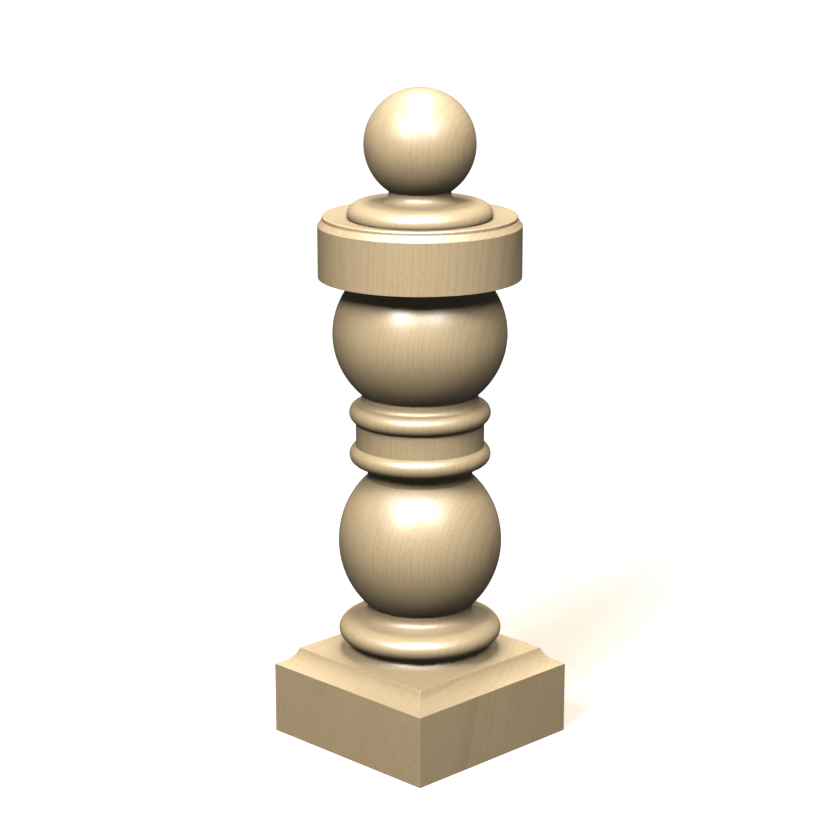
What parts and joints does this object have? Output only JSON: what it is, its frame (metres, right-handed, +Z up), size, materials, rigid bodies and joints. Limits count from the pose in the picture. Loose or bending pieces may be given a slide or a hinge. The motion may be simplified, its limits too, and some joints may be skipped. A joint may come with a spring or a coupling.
{
  "type": "baluster",
  "caption": "Short turned wooden baluster on a square plinth, with stacked balls, a ringed collar, a drum and a ball on top.",
  "frame": {"origin": "centre of the square underside, where the turning axis meets the floor", "axes": "+Z up along the turning axis, +X and +Y square to the plinth's side faces"},
  "size_m": [0.2, 0.2, 0.63],
  "materials": {
    "wood": "pale hardwood, turned and sanded smooth, with a satin clear finish"
  },
  "bodies": {
    "root": {"baluster": "wood"}
  },
  "joints": []
}
